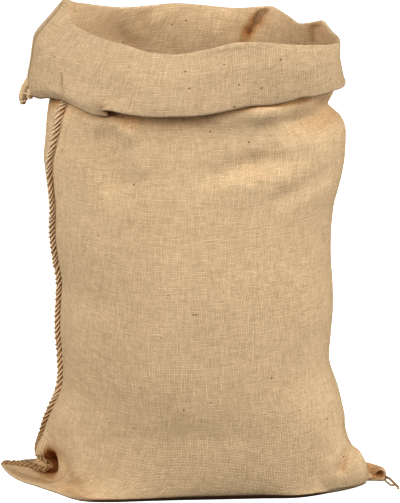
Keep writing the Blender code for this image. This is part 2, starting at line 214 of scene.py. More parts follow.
# A place's x, y and z.
def parts(tree, place):
    return shaderNode(tree, "SeparateXYZ", {0: place}).outputs


# A point's place on its piece, and its UV along the threads.
def ownPlaces(tree):
    return (shaderNode(tree, "TexCoord", {}).outputs["Object"],
            shaderNode(tree, "UVMap", {}, uv_map="threads").outputs[0])


# |first - second|.
def gapBetween(tree, first, second):
    return calc(tree, "ABSOLUTE", calc(tree, "SUBTRACT", first, second))


# |sin(place * pace)|.
def ridges(tree, place, pace):
    return calc(tree, "ABSOLUTE", calc(tree, "SINE", calc(tree, "MULTIPLY", place, pace)))


# A new material, its node tree and its shader.
def bareMaterial(name):
    material = bpy.data.materials.new(name)
    material.use_nodes = True
    tree = material.node_tree
    return material, tree, tree.nodes["Principled BSDF"]


# The colour, times the tint by the share given.
def tinted(tree, share, colour, tint):
    return mixColour(tree, share, colour, mixColour(tree, 1.0, colour, tint, "MULTIPLY"))


# Painted shade in folds: light that reaches a fold has met jute before, so the colour is painted darker and
# warmer there: the whole tint at the range's first openness and none at its second. Low down the colour is
# painted darker as shade, by height in the same way.
def paintedFoldAndLowShade(tree, place, colour, made):
    exposed = shaderNode(tree, "AmbientOcclusion", {"Distance": made["foldReach"]}, samples=6,
                         only_local=made["ownFolds"])
    deep = mapRange(tree, exposed.outputs["AO"], *made["foldRange"], 1.0, 0.0)
    colour = tinted(tree, deep, colour, made["foldPaintedShade"])
    low = mapRange(tree, parts(tree, place)[2], *made["lowHeight"], 1.0, 0.0)
    return tinted(tree, low, colour, made["lowPaintedShade"])


# The shader's colour and roughness, and the relief as bump.
def finishShader(tree, shader, made, colour, relief):
    tree.links.new(colour, shader.inputs["Base Color"])
    shader.inputs["Roughness"].default_value = made["roughness"]
    shader.inputs["Specular IOR Level"].default_value = made["shine"]
    bump = shaderNode(tree, "Bump",
                      {"Height": relief, "Distance": made["relief"], "Strength": made["bump"]})
    tree.links.new(bump.outputs[0], shader.inputs["Normal"])


juteSet = {
    "pitch": 0.0026,  # from thread to thread, both ways
    "wander": 0.0014,  # how far threads stray from their lines
    "wanderScale": 45.0,
    "wave": 0.22,  # a thread's rise and fall, as a share of its height
    "toneStep": 3.713,  # from thread to thread, and from warp to weft, in the tones' noise
    "toneJump": 41.7,
    "streak": 0.09,  # the smaller, the longer a thread's streaks
    "toneRange": (0.25, 0.75),
    "shadeRange": (-0.1, 1.1),
    "broadPatches": (9.0, 0.3),  # of a hand's width: scale, strength
    "nearPatches": (60.0, 0.22),  # of a finger's
    "dark": (0.45, 0.318, 0.182, 1),
    "light": (0.86, 0.668, 0.445, 1),
    "gap": (0.27, 0.16, 0.072, 1),  # the shade between threads
    "gapHeight": (0.1, 0.6),
    "gapShare": 0.7,
    "relief": 0.0007,
    "bump": 0.8,
    "fibreScale": 1800.0,
    "fibre": 0.25,  # its share of the relief
    "roughness": 0.92,
    "shine": 0.15,
    "grooveShadeLine": 0.0042,  # painted shade in the groove beside the side seam: girth from the side thread
    "grooveShadeWidth": (0.0006, 0.0016),
    "groovePaintedShade": 0.6,
    "foldReach": 0.2,
    "foldRange": (0.28, 0.9),
    # painted shade: darker and warmer in the cloth's folds
    "foldPaintedShade": (0.86, 0.57, 0.3, 1),
    "ownFolds": True,  # only the cloth's own folds count, not what it stands on
    # painted shade: darker low down
    "lowPaintedShade": (0.95, 0.945, 0.94, 1),
    "lowHeight": (0.045, 0.11),
    "turnedPaintedShade": (0.86, 0.86, 0.865, 1),  # painted shade that darkens the cloth's other face, where it's turned out
    "footPaintedShadow": (0.14, 0.09, 0.055, 1),  # painted contact shadow on the strip that rests on the floor
    "footHeight": (0.0048, 0.008),  # at its left and its middle
    "footRise": (-0.15, 0.0),  # the stretch where its top rises
    "footSink": (0.12, 0.23),  # and the one where it sinks again
    "footSunk": 0.003,
    "footEdge": 0.0007,
    "footMiddle": 0.02,
    "footEnds": (0.17, 0.225),  # where it fades, to each side of the middle
    "dotsAt": 0.08,  # needle holes near the hem: girth at their top
    "dotsSlant": -0.48,
    "dotsHigh": 0.047,  # way from the hem to their top
    "dotsPitch": 0.0035,
    "dotsWave": (-0.1, 0.5),
    "dotsShade": (0.15, 0.85),
    "dotsWidth": (0.0013, 0.0026),
    "dotsFade": (0.03, 0.012),  # below their top
    "dotsFaint": 0.35,
    "husk": (0.13, 0.07, 0.03, 1),  # dark specks in the yarn
    "huskScale": 210.0,
    "huskShare": 0.0035,  # of the cells
    "huskSize": 0.32,
    "huskDepth": 0.8,
}
# The rolled edge inside the stitches is in their shade.
seamEdgeSet = {
    "ownFolds": False,
    # painted shade: darker low down
    "lowPaintedShade": (0.6, 0.53, 0.44, 1),
    "dark": (0.42, 0.29, 0.165, 1),
    "light": (0.74, 0.55, 0.35, 1),
}


# Plain weave on the cloth's own UV, which is in metres along the two thread directions. A thread's
# height is |sin| across it times a gentle wave along it, turned over at every second thread; the
# higher of the two shows. Each thread has its own tone, which drifts along it in streaks.
def weave(tree, uv, threads, made):
    stray = shaderNode(tree, "TexNoise", {"Vector": uv, "Scale": made["wanderScale"], "Detail": 1.0})
    strayParts = shaderNode(tree, "SeparateColor", {0: stray.outputs[1]})
    lines, heights, tones = [], [], []
    for axis in (0, 1):
        shift = calc(tree, "MULTIPLY_ADD", strayParts.outputs[axis], made["wander"], -made["wander"] / 2)
        moved = calc(tree, "ADD", threads[axis], shift)
        lines.append(calc(tree, "DIVIDE", moved, made["pitch"]))
    for axis, wave in enumerate((made["wave"], -made["wave"])):
        across, along = lines[axis], lines[1 - axis]
        index = calc(tree, "FLOOR", across)
        rounded = ridges(tree, across, math.pi)
        phase = calc(tree, "SINE", calc(tree, "MULTIPLY", calc(tree, "ADD", along, index), math.pi))
        lift = calc(tree, "MULTIPLY_ADD", phase, wave, 1 - made["wave"])
        heights.append(calc(tree, "MULTIPLY", rounded, lift))
        seed = calc(tree, "MULTIPLY_ADD", index, made["toneStep"], made["toneJump"] * axis)
        streaks = joined(tree, seed, calc(tree, "MULTIPLY", along, made["streak"]))
        tones.append(noise(tree, streaks, 1.0, 3.0, 0.75))
    height = calc(tree, "MAXIMUM", heights[0], heights[1])
    warpOver = calc(tree, "GREATER_THAN", heights[0], heights[1])
    return height, shaderNode(tree, "Mix", {0: warpOver, 2: tones[1], 3: tones[0]}).outputs[0]


# From dark to light yarn by the tone plus two sizes of patches, so the cloth isn't even, and the gap's
# shade where the weave is low.
def yarnColour(tree, place, height, tone, made):
    patches = []
    for (scale, strength), detail, rough in ((made["broadPatches"], 3.0, 0.55),
                                             (made["nearPatches"], 2.0, 0.6)):
        patch = noise(tree, place, scale, detail, rough)
        patches.append(calc(tree, "MULTIPLY_ADD", patch, strength, -strength / 2))
    shade = calc(tree, "ADD", mapRange(tree, tone, *made["toneRange"], 0.0, 1.0),
                 calc(tree, "ADD", *patches))
    yarn = mixColour(tree, mapRange(tree, shade, *made["shadeRange"], 0.0, 1.0), made["dark"], made["light"])
    low = mapRange(tree, height, *made["gapHeight"], made["gapShare"], 0.0)
    return mixColour(tree, low, yarn, made["gap"])


# Painted shade in the groove beside the side seam, and the needle's holes: dots, as a sine, along a slanted
# line up from the hem, fainter lower down.
def grooveShadedAndNeedled(tree, threads, colour, made):
    girth, up = threads[0], threads[1]
    beside = gapBetween(tree, girth, made["grooveShadeLine"])
    grooveShadeShare = mapRange(tree, beside, *made["grooveShadeWidth"], made["groovePaintedShade"], 0.0)
    colour = mixColour(tree, grooveShadeShare, colour, made["gap"])
    line = calc(tree, "MULTIPLY_ADD", calc(tree, "SUBTRACT", up, made["dotsHigh"]), made["dotsSlant"],
                made["dotsAt"])
    beside = gapBetween(tree, girth, line)
    dots = calc(tree, "SINE", calc(tree, "MULTIPLY", up, 2 * math.pi / made["dotsPitch"]))
    dots = calc(tree, "MULTIPLY", mapRange(tree, dots, *made["dotsWave"], *made["dotsShade"]),
                mapRange(tree, beside, *made["dotsWidth"], 1.0, 0.0))
    faint, strong = (made["dotsHigh"] - below for below in made["dotsFade"])
    dots = calc(tree, "MULTIPLY", dots, mapRange(tree, up, faint, strong, made["dotsFaint"], 1.0))
    dots = calc(tree, "MULTIPLY", dots, calc(tree, "LESS_THAN", up, made["dotsHigh"]))
    return mixColour(tree, dots, colour, made["gap"])


# Husk specks are the middles of rare cells of a fine Voronoi pattern.
def husked(tree, uv, colour, made):
    cells = shaderNode(tree, "TexVoronoi", {"Vector": uv, "Scale": made["huskScale"]})
    pick = shaderNode(tree, "SeparateColor", {0: cells.outputs["Color"]}).outputs[0]
    rare = calc(tree, "LESS_THAN", pick, made["huskShare"])
    centre = calc(tree, "LESS_THAN", cells.outputs["Distance"], made["huskSize"])
    speck = calc(tree, "MULTIPLY", calc(tree, "MULTIPLY", rare, centre), made["huskDepth"])
    return mixColour(tree, speck, colour, made["husk"])


# Painted contact shadow on the strip along the floor, between the corners: below its top, and near enough to
# its middle.
def paintedFootShadow(tree, place, colour, made):
    x, _, z = parts(tree, place)
    top = mapRange(tree, x, *made["footRise"], *made["footHeight"])
    sunk = mapRange(tree, x, *made["footSink"], 0.0, made["footSunk"])
    over = calc(tree, "SUBTRACT", z, calc(tree, "SUBTRACT", top, sunk))
    aside = gapBetween(tree, x, made["footMiddle"])
    foot = calc(tree, "MULTIPLY", mapRange(tree, over, -made["footEdge"], made["footEdge"], 1.0, 0.0),
                mapRange(tree, aside, *made["footEnds"], 1.0, 0.0))
    return tinted(tree, foot, colour, made["footPaintedShadow"])


# Jute cloth: the weave's colour and marks, with painted shade in the groove beside the side seam, then
# painted shade in its folds, low down and on its turned face, and a painted shadow along its foot; fine
# fibres are added to the weave's height as relief.
def juteMaterial(made, name):
    material, tree, shader = bareMaterial(name)
    place, uv = ownPlaces(tree)
    threads = parts(tree, uv)
    height, tone = weave(tree, uv, threads, made)
    colour = grooveShadedAndNeedled(tree, threads, yarnColour(tree, place, height, tone, made), made)
    colour = paintedFoldAndLowShade(tree, place, husked(tree, uv, colour, made), made)
    turned = shaderNode(tree, "Attribute", {}, attribute_name="turned").outputs["Fac"]
    colour = paintedFootShadow(tree, place, tinted(tree, turned, colour, made["turnedPaintedShade"]), made)
    fibre = noise(tree, uv, made["fibreScale"], 2.0, 0.7)
    finishShader(tree, shader, made, colour, calc(tree, "MULTIPLY_ADD", fibre, made["fibre"], height))
    return material


twineSet = {
    "dark": (0.63, 0.46, 0.28, 1),
    "light": (0.98, 0.83, 0.62, 1),
    "twistLength": 0.0045,  # along the twine, for one turn of its plies
    "tipShare": 0.5,  # the end rings' size
    "hairs": (14.0, 0.8),  # fibres' waves round the twine and along a turn
    # painted shade: the colour darkens in the grooves between the plies
    "plyGrooveShade": 0.55,
    "hairLight": 0.5,
    "patchScale": 120.0,
    "patchLight": (0.5, -0.3),
    "lightRange": (0.1, 1.0),
    "foldReach": 0.012,
    "foldRange": (0.15, 0.75),
    # painted shade: darker and warmer where the twine lies close to other things
    "foldPaintedShade": (0.9, 0.77, 0.6, 1),
    "ownFolds": False,
    # painted shade: darker low down
    "lowPaintedShade": (0.6, 0.53, 0.42, 1),
    "lowHeight": (0.065, 0.13),
    "relief": 0.0004,
    "bump": 0.8,
    "hairRelief": 0.4,
    "roughness": 0.85,
    "shine": 0.2,
}


# Twine on UV whose first part is round the twine, 0 to 1, and whose second is metres along it: two
# plies wind round it, as |sin| of the turn, and fine fibres follow them. The colour is painted darker in the
# grooves between the plies, as shade.
def twineMaterial(made, name):
    material, tree, shader = bareMaterial(name)
    place, uv = ownPlaces(tree)
    around, along, _ = parts(tree, uv)
    turns = calc(tree, "DIVIDE", along, made["twistLength"])
    wound = calc(tree, "ADD", around, turns)
    ply = ridges(tree, wound, 2 * math.pi)
    hairPlace = [calc(tree, "MULTIPLY", *pair) for pair in zip((wound, turns), made["hairs"])]
    hair = noise(tree, joined(tree, *hairPlace), 1.0, 3.0, 0.7)
    patch = noise(tree, place, made["patchScale"])
    light = calc(tree, "ADD", calc(tree, "MULTIPLY", ply, made["plyGrooveShade"]),
                 calc(tree, "MULTIPLY", hair, made["hairLight"]))
    light = calc(tree, "ADD", light, calc(tree, "MULTIPLY_ADD", patch, *made["patchLight"]))
    share = mapRange(tree, light, *made["lightRange"], 0.0, 1.0)
    colour = paintedFoldAndLowShade(tree, place, mixColour(tree, share, made["dark"], made["light"]), made)
    relief = calc(tree, "MULTIPLY_ADD", hair, made["hairRelief"], ply)
    finishShader(tree, shader, made, colour, relief)
    return material


juteCloth = juteMaterial(juteSet, "jute cloth")
seamEdge = juteMaterial({**juteSet, **seamEdgeSet}, "rolled seam edge")
seamTwine = twineMaterial(twineSet, "seam twine")
looseTwine = twineMaterial(twineSet, "loose twine")
print("materials made")


# A closed tube from rings by points, with a fan at each end. Its UV runs round it, over aroundSize,
# and along it in metres.
def tubePiece(name, rings, way, aroundSize, material):
    count, sides = rings.shape[:2]
    points = np.concatenate((rings.reshape(-1, 3), rings[[0, -1]].mean(axis=1)))
    faces, corners = closedGridFaces(count, sides)
    around = np.linspace(0, aroundSize, sides + 1)
    uv = np.stack(np.broadcast_arrays(around[None, :], way[:, None]), axis=-1).reshape(-1, 2)
    first = np.arange(sides)
    following = (first + 1) % sides
    last = (count - 1) * sides
    startFan = np.stack((following, first, np.full(sides, count * sides)), axis=1)
    endFan = np.stack((last + first, last + following, np.full(sides, count * sides + 1)), axis=1)
    fanUv = np.zeros((2, sides * 3, 2))
    fanUv[1, :, 1] = way[-1]
    cornerUv = np.concatenate((uv[corners.ravel()], fanUv.reshape(-1, 2)))
    return meshPiece(name, points, faces.tolist() + startFan.tolist() + endFan.tolist(), cornerUv, material)


# Twine along a line: rings of radius times (cos, sin) on two directions square to the line, which are
# carried along it without twisting. A ply term makes each ring two-lobed and turns it along the way.
def twineTube(name, line, radius, material, sides, lobes=0.0):
    line = np.asarray(line, dtype=float)
    tangent = unit(np.gradient(line, axis=0))
    side = np.zeros_like(line)
    start = np.cross(tangent[0], (0.0, 0.0, 1.0))
    if np.linalg.norm(start) < 0.1:
        start = np.cross(tangent[0], (0.0, 1.0, 0.0))
    side[0] = start / np.linalg.norm(start)
    for step in range(1, len(line)):  # each direction leans on the one before it
        carried = side[step - 1] - tangent[step] * (side[step - 1] @ tangent[step])
        side[step] = carried / np.linalg.norm(carried)
    other = np.cross(tangent, side)
    way = wayAlong(line)
    angle = np.arange(sides) * 2 * np.pi / sides
    turn = 2 * np.pi * way / twineSet["twistLength"]
    size = radius * (1 + lobes * np.cos(2 * (angle[None, :] + turn[:, None])))
    size[[0, -1]] *= twineSet["tipShare"]
    return tubePiece(name, ringsAbout(line, side, other, sides, size), way, 1.0, material)


tailSet = {
    "route": (
        (0.2964, -0.0402, 0.005),
        (0.3015, -0.0465, 0.0048),
        (0.3055, -0.0535, 0.0038),
        (0.309, -0.062, 0.0026),
        (0.312, -0.072, 0.0023),
        (0.3148, -0.082, 0.0023),
        (0.3152, -0.091, 0.0023),
    ),
    "diameter": 0.004,
    "sides": 12,
    "lobes": 0.1,  # how far its plies stand out, as a share of its radius
    "step": 0.0007,
    "plyRoute": (
        (0.2945, -0.044, 0.003),
        (0.298, -0.055, 0.002),
        (0.3015, -0.065, 0.0018),
        (0.3055, -0.0735, 0.002),
        (0.3105, -0.076, 0.0038),
    ),
    "plyDiameter": 0.003,
    "plySides": 8,
}


# Points of a route, about a step apart.
def routeLine(route, step):
    return alongLine(route, np.linspace(0, 1, int(wayAlong(np.array(route))[-1] / step)))


# The loose end and the ply that has come away beside it are twine tubes along their own routes.
def makeTail(made):
    line = routeLine(made["route"], made["step"])
    tail = twineTube("loose_twine", line, made["diameter"] / 2, looseTwine, made["sides"], made["lobes"])
    ply = twineTube("loose_ply", routeLine(made["plyRoute"], made["step"]), made["plyDiameter"] / 2,
                    looseTwine, made["plySides"], made["lobes"])
    for piece in (tail, ply):
        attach(piece, "root")
    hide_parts("twine_tail")


makeTail(tailSet)
print("loose twine made")


clothSet = {
    "thickness": 0.0016,
    "columns": 304,
    "crowding": 0.042,  # share of the girth by which columns crowd towards the two sides
    "girth": 1.2,
    "floorRows": 4,
    "pressRows": 5,
    "cornerRows": 40,
    "wallRows": 62,
    "neckRows": 14,
    "foldRows": 6,
    "cuffRows": 28,
    "foldRadius": 0.0011,
    "leanMost": 1.2,  # radians that the cuff may lean out from hanging straight
    "earFold": 0.0025,
    "earReach": 0.03,
    "undercut": 0.006,
    "frontRise": 0.008,
    "risePower": 1.4,
    "frontBelly": 0.001,
    "cornerHeight": 0.1,
    "cornerLift": 0.012,
    "leftSpread": 0.15,  # girth to each side where an ear's threads have the corner's own form
    "rightSpread": 0.11,
    "turnSpread": 0.2,
    "flatter": 0.45,
    "leftSide": 1.55,
    "rightSide": 2.1,
    "grooveAt": 0.0045,  # the cloth sinks beside the side seam
    "grooveWidth": 0.0024,
    "grooveDepth": 0.0013,
    "tuckAt": 0.088,  # girth where the cuff's edge rolls under
    "tuckSpread": 0.05,
    "tuckDepth": 0.008,
    "tuckFrom": 0.84,  # share of the way down the cuff
    "pleatFrom": 0.8,
    "neckOverlap": 4,  # rows of the wall that the neck's creases reach down to
    "cuffStart": 2,  # rows past the fold where the cuff's own form starts
    "turnedFrom": 2,  # rows past the mouth where the other face starts to show
    "turnedRows": 3,
    "outlineSteps": 900,
    "threadEasing": 60,
    "wallWay": 0.3,  # the second UV at the wall's top
}

# The floor's outline from the left ear's tip to the right one, in front and behind: x, y.
floorFront = (
    (-0.302, 0.028), (-0.293, -0.004), (-0.27, -0.048), (-0.245, -0.074), (-0.212, -0.107),
    (-0.168, -0.1445), (-0.13, -0.149), (-0.08, -0.148), (0.0, -0.1435), (0.05, -0.1405), (0.1, -0.137),
    (0.165, -0.132), (0.209, -0.111), (0.236, -0.0945), (0.255, -0.077), (0.266, -0.061), (0.269, -0.049),
    (0.28, -0.047), (0.292, -0.048), (0.2975, -0.041),
)
floorBack = (
    (-0.302, 0.028), (-0.28, 0.033), (-0.254, 0.035), (-0.236, 0.048), (-0.214, 0.08), (-0.165, 0.122),
    (-0.09, 0.139), (0.01, 0.142), (0.1, 0.138), (0.165, 0.12), (0.21, 0.088), (0.244, 0.05), (0.27, 0.006),
    (0.287, -0.024), (0.2975, -0.041),
)
floorSeam = ((-0.295, 0.026), (0.287, -0.037))

# Level sections: height, left x and y, right x and y, front y, back y, squareness, and how far the
# side seam has turned to the front.
wallTable = (
    (0.1, -0.222, 0.004, 0.234, -0.022, -0.15, 0.15, 2.3, 0.0),
    (0.138, -0.207, 0.004, 0.225, -0.014, -0.155, 0.155, 2.3, 0.0),
    (0.185, -0.205, 0.003, 0.21, -0.008, -0.158, 0.158, 2.3, 0.0),
    (0.23, -0.208, 0.002, 0.212, -0.003, -0.158, 0.158, 2.3, 0.0),
    (0.272, -0.207, 0.0, 0.215, 0.0, -0.158, 0.158, 2.35, 0.0),
    (0.308, -0.205, 0.0, 0.214, 0.0, -0.157, 0.157, 2.35, 0.006),
    (0.35, -0.212, 0.0, 0.211, 0.0, -0.155, 0.156, 2.4, 0.015),
    (0.391, -0.219, 0.0, 0.211, 0.0, -0.153, 0.155, 2.4, 0.028),
    (0.435, -0.2225, 0.0, 0.215, 0.0, -0.151, 0.153, 2.4, 0.04),
    (0.475, -0.2265, 0.0, 0.225, 0.0, -0.149, 0.151, 2.4, 0.041),
    (0.512, -0.23, 0.0, 0.231, 0.0, -0.146, 0.148, 2.35, 0.046),
    (0.536, -0.2275, 0.0, 0.2318, 0.0, -0.145, 0.146, 2.35, 0.053),
    (0.553, -0.2262, 0.0, 0.2315, 0.001, -0.144, 0.145, 2.35, 0.058),
    (0.568, -0.225, 0.0, 0.225, 0.002, -0.143, 0.144, 2.35, 0.063),
    (0.58, -0.2235, 0.0, 0.2105, 0.004, -0.142, 0.143, 2.4, 0.067),
    (0.59, -0.222, 0.0, 0.2028, 0.006, -0.141, 0.142, 2.4, 0.071),
    (0.6, -0.2195, 0.002, 0.208, 0.006, -0.14, 0.142, 2.4, 0.074),
    (0.618, -0.214, 0.006, 0.2155, 0.006, -0.138, 0.142, 2.4, 0.08),
)

# The sack's corners lie out on the floor as ears. Each thread near an ear has a route of its own from
# the floor's edge up to the wall: its girth from the side thread, above 0 in front, and points x, y, z.
leftEar = (
    (-0.026, ((-0.27, 0.024, 0.009), (-0.25, 0.016, 0.012), (-0.239, 0.018, 0.022), (-0.239, 0.022, 0.038),
        (-0.234, 0.028, 0.055), (-0.227, 0.034, 0.078))),
    (-0.01, ((-0.285, 0.021, 0.009), (-0.264, 0.01, 0.013), (-0.248, 0.001, 0.015), (-0.245, 0.0, 0.021),
        (-0.245, 0.004, 0.032), (-0.241, 0.01, 0.046), (-0.2335, 0.016, 0.064), (-0.227, 0.018, 0.08))),
    (0.0, ((-0.301, 0.027, 0.007), (-0.284, 0.013, 0.011), (-0.268, 0.0, 0.0145), (-0.249, -0.018, 0.015),
        (-0.232, -0.031, 0.014), (-0.2235, -0.033, 0.0195), (-0.2345, -0.026, 0.028),
        (-0.2455, -0.006, 0.035), (-0.243, 0.003, 0.046), (-0.235, 0.009, 0.061), (-0.23, 0.01, 0.078))),
    (0.007, ((-0.291, 0.01, 0.0068), (-0.271, -0.006, 0.0095), (-0.251, -0.022, 0.0105),
        (-0.233, -0.028, 0.0085), (-0.2205, -0.02, 0.012), (-0.225, -0.016, 0.022), (-0.245, -0.018, 0.032),
        (-0.2435, -0.013, 0.045), (-0.2355, -0.004, 0.061), (-0.2295, -0.001, 0.078))),
    (0.012, ((-0.286, 0.003, 0.0065), (-0.265, -0.014, 0.0088), (-0.2455, -0.03, 0.009),
        (-0.2295, -0.031, 0.007), (-0.2165, -0.016, 0.01), (-0.217, -0.008, 0.02), (-0.234, -0.023, 0.031),
        (-0.2345, -0.023, 0.045), (-0.2285, -0.016, 0.061), (-0.2245, -0.011, 0.078))),
    (0.017, ((-0.281, -0.004, 0.006), (-0.259, -0.023, 0.0078), (-0.24, -0.038, 0.008),
        (-0.226, -0.035, 0.006), (-0.214, -0.02, 0.008), (-0.212, -0.006, 0.018), (-0.22, -0.01, 0.029),
        (-0.224, -0.023, 0.041), (-0.2225, -0.024, 0.06), (-0.221, -0.019, 0.079))),
    (0.023, ((-0.277, -0.013, 0.0055), (-0.253, -0.033, 0.0068), (-0.232, -0.047, 0.007),
        (-0.218, -0.043, 0.007), (-0.2105, -0.036, 0.012), (-0.2095, -0.032, 0.021),
        (-0.213, -0.035, 0.033), (-0.217, -0.036, 0.045), (-0.218, -0.032, 0.062),
        (-0.2185, -0.026, 0.08))),
    (0.03, ((-0.273, -0.021, 0.0052), (-0.247, -0.043, 0.006), (-0.227, -0.058, 0.007),
        (-0.2145, -0.06, 0.01), (-0.2105, -0.056, 0.019), (-0.211, -0.051, 0.028), (-0.213, -0.047, 0.038),
        (-0.215, -0.043, 0.049), (-0.216, -0.038, 0.064), (-0.2165, -0.031, 0.082))),
    (0.045, ((-0.262, -0.04, 0.0055), (-0.238, -0.06, 0.0065), (-0.218, -0.073, 0.009),
        (-0.208, -0.074, 0.017), (-0.2055, -0.07, 0.027), (-0.2065, -0.064, 0.038),
        (-0.2085, -0.056, 0.052), (-0.2095, -0.047, 0.07), (-0.2092, -0.041, 0.087))),
    (0.065, ((-0.253, -0.056, 0.006), (-0.231, -0.072, 0.0075), (-0.211, -0.084, 0.011),
        (-0.2, -0.086, 0.019), (-0.197, -0.082, 0.03), (-0.197, -0.076, 0.043), (-0.1985, -0.068, 0.06),
        (-0.199, -0.06, 0.08))),
    (0.095, ((-0.236, -0.08, 0.007), (-0.216, -0.093, 0.011), (-0.2, -0.099, 0.018),
        (-0.192, -0.098, 0.029), (-0.188, -0.092, 0.043), (-0.186, -0.086, 0.062), (-0.185, -0.08, 0.083))),
)
rightEar = (
    (-0.02, ((0.286, -0.018, 0.007), (0.274, -0.014, 0.009), (0.262, -0.011, 0.015), (0.249, -0.008, 0.04),
        (0.239, -0.006, 0.062))),
    (0.0, ((0.2985, -0.04, 0.006), (0.2982, -0.0385, 0.012), (0.2945, -0.0365, 0.0185),
        (0.288, -0.035, 0.02), (0.278, -0.034, 0.02), (0.268, -0.032, 0.0195), (0.2595, -0.029, 0.0225),
        (0.25, -0.0265, 0.04), (0.2405, -0.025, 0.058), (0.2345, -0.024, 0.078))),
    (0.007, ((0.295, -0.044, 0.006), (0.295, -0.047, 0.015), (0.2905, -0.048, 0.018),
        (0.282, -0.0485, 0.013), (0.274, -0.0485, 0.008), (0.267, -0.045, 0.012), (0.261, -0.042, 0.022),
        (0.256, -0.04, 0.034), (0.248, -0.037, 0.05), (0.236, -0.033, 0.07))),
    (0.014, ((0.288, -0.044, 0.005), (0.285, -0.034, 0.012), (0.2775, -0.034, 0.0085),
        (0.27, -0.043, 0.006), (0.2645, -0.047, 0.016), (0.2595, -0.049, 0.032), (0.2545, -0.049, 0.047),
        (0.2445, -0.044, 0.059), (0.234, -0.039, 0.072))),
    (0.026, ((0.27, -0.058, 0.006), (0.27, -0.062, 0.014), (0.2685, -0.063, 0.025), (0.2655, -0.062, 0.036),
        (0.261, -0.06, 0.045), (0.2555, -0.057, 0.0535), (0.2455, -0.052, 0.06), (0.235, -0.045, 0.068),
        (0.232, -0.041, 0.08))),
    (0.044, ((0.262, -0.078, 0.006), (0.263, -0.082, 0.016), (0.2605, -0.084, 0.029),
        (0.2555, -0.083, 0.042), (0.245, -0.077, 0.056), (0.233, -0.065, 0.078))),
)

# The fold at the mouth, from the side seam over the front: x, y, z, and the cuff's bulge below it.
rimTable = (
    (-0.1985, 0.014, 0.7457, 0.025), (-0.1952, 0.004, 0.7386, 0.0256), (-0.189, -0.008, 0.7284, 0.026),
    (-0.1841, -0.022, 0.7198, 0.023), (-0.1715, -0.04, 0.7153, 0.018), (-0.1405, -0.078, 0.7097, 0.011),
    (-0.0994, -0.114, 0.7049, 0.0075), (-0.0665, -0.132, 0.6985, 0.006), (-0.0329, -0.143, 0.6978, 0.006),
    (-0.01, -0.147, 0.7004, 0.006), (0.024, -0.149, 0.7079, 0.006), (0.061, -0.147, 0.716, 0.005),
    (0.101, -0.142, 0.7159, 0.005), (0.1427, -0.133, 0.7104, 0.0045), (0.1802, -0.118, 0.7064, 0.003),
    (0.207, -0.098, 0.7034, 0.0), (0.216, -0.078, 0.702, -0.0025), (0.2175, -0.055, 0.701, -0.0035),
    (0.215, -0.02, 0.7, -0.003), (0.209, 0.006, 0.7003, 0.001), (0.203, 0.03, 0.7035, 0.003),
    (0.1955, 0.044, 0.7092, 0.004), (0.1895, 0.05, 0.707, 0.006), (0.1762, 0.064, 0.7012, 0.012),
    (0.1629, 0.082, 0.6962, 0.011), (0.1452, 0.115, 0.7011, 0.007), (0.127, 0.141, 0.7075, 0.005),
    (0.12, 0.147, 0.71, 0.004), (0.112, 0.149, 0.7092, 0.004), (0.0667, 0.15, 0.7061, 0.004),
    (0.0092, 0.152, 0.7108, 0.004), (-0.0296, 0.15, 0.7137, 0.004), (-0.0683, 0.14, 0.7122, 0.006),
    (-0.1037, 0.125, 0.7125, 0.008), (-0.1295, 0.105, 0.7177, 0.013), (-0.1595, 0.075, 0.7279, 0.019),
    (-0.183, 0.048, 0.7372, 0.0235), (-0.1955, 0.028, 0.7455, 0.0253),
)
hemTable = (
    (-0.2482, 0.0, 0.6047), (-0.236, -0.03, 0.6059), (-0.2233, -0.052, 0.6111), (-0.2058, -0.078, 0.6129),
    (-0.1879, -0.098, 0.6107), (-0.1656, -0.118, 0.6063), (-0.1473, -0.133, 0.6037),
    (-0.1322, -0.142, 0.6059), (-0.1142, -0.148, 0.6111), (-0.1007, -0.153, 0.6101),
    (-0.065, -0.16, 0.6079), (-0.0323, -0.164, 0.6089), (-0.0056, -0.166, 0.6097), (0.0196, -0.166, 0.6124),
    (0.0537, -0.159, 0.6175), (0.0833, -0.15, 0.6219), (0.1139, -0.143, 0.6224), (0.1383, -0.136, 0.6256),
    (0.1539, -0.13, 0.6293), (0.1653, -0.126, 0.631), (0.1755, -0.122, 0.6298), (0.186, -0.117, 0.6312),
    (0.1987, -0.109, 0.6321), (0.2071, -0.101, 0.6338), (0.2165, -0.09, 0.6339), (0.225, -0.062, 0.6318),
    (0.228, -0.025, 0.633), (0.22, 0.02, 0.628), (0.205, 0.066, 0.621), (0.183, 0.108, 0.616),
    (0.146, 0.146, 0.612), (0.08, 0.166, 0.608), (0.01, 0.17, 0.606), (-0.07, 0.168, 0.604),
    (-0.14, 0.15, 0.602), (-0.196, 0.112, 0.6), (-0.235, 0.056, 0.599),
)
# How much of its bulge the cuff has on the way down from the fold to the hem: share of the way, share.
bellyTable = (
    (0.0, 0.0), (0.075, 0.22), (0.16, 0.46), (0.26, 0.76), (0.35, 1.0), (0.44, 0.94), (0.62, 0.73),
    (0.8, 0.56), (0.92, 0.32), (1.0, 0.0),
)
# The pleat in the hem's front left: girth, and the hem's shift x, y, z there.
pleatTable = (
    (0.128, 0.0, 0.0, 0.0), (0.152, 0.005, 0.003, -0.002), (0.166, 0.011, 0.006, -0.002),
    (0.172, 0.003, 0.001, 0.002), (0.178, -0.01, -0.003, 0.006), (0.192, -0.005, -0.001, 0.002),
    (0.215, 0.0, 0.0, 0.0),
)

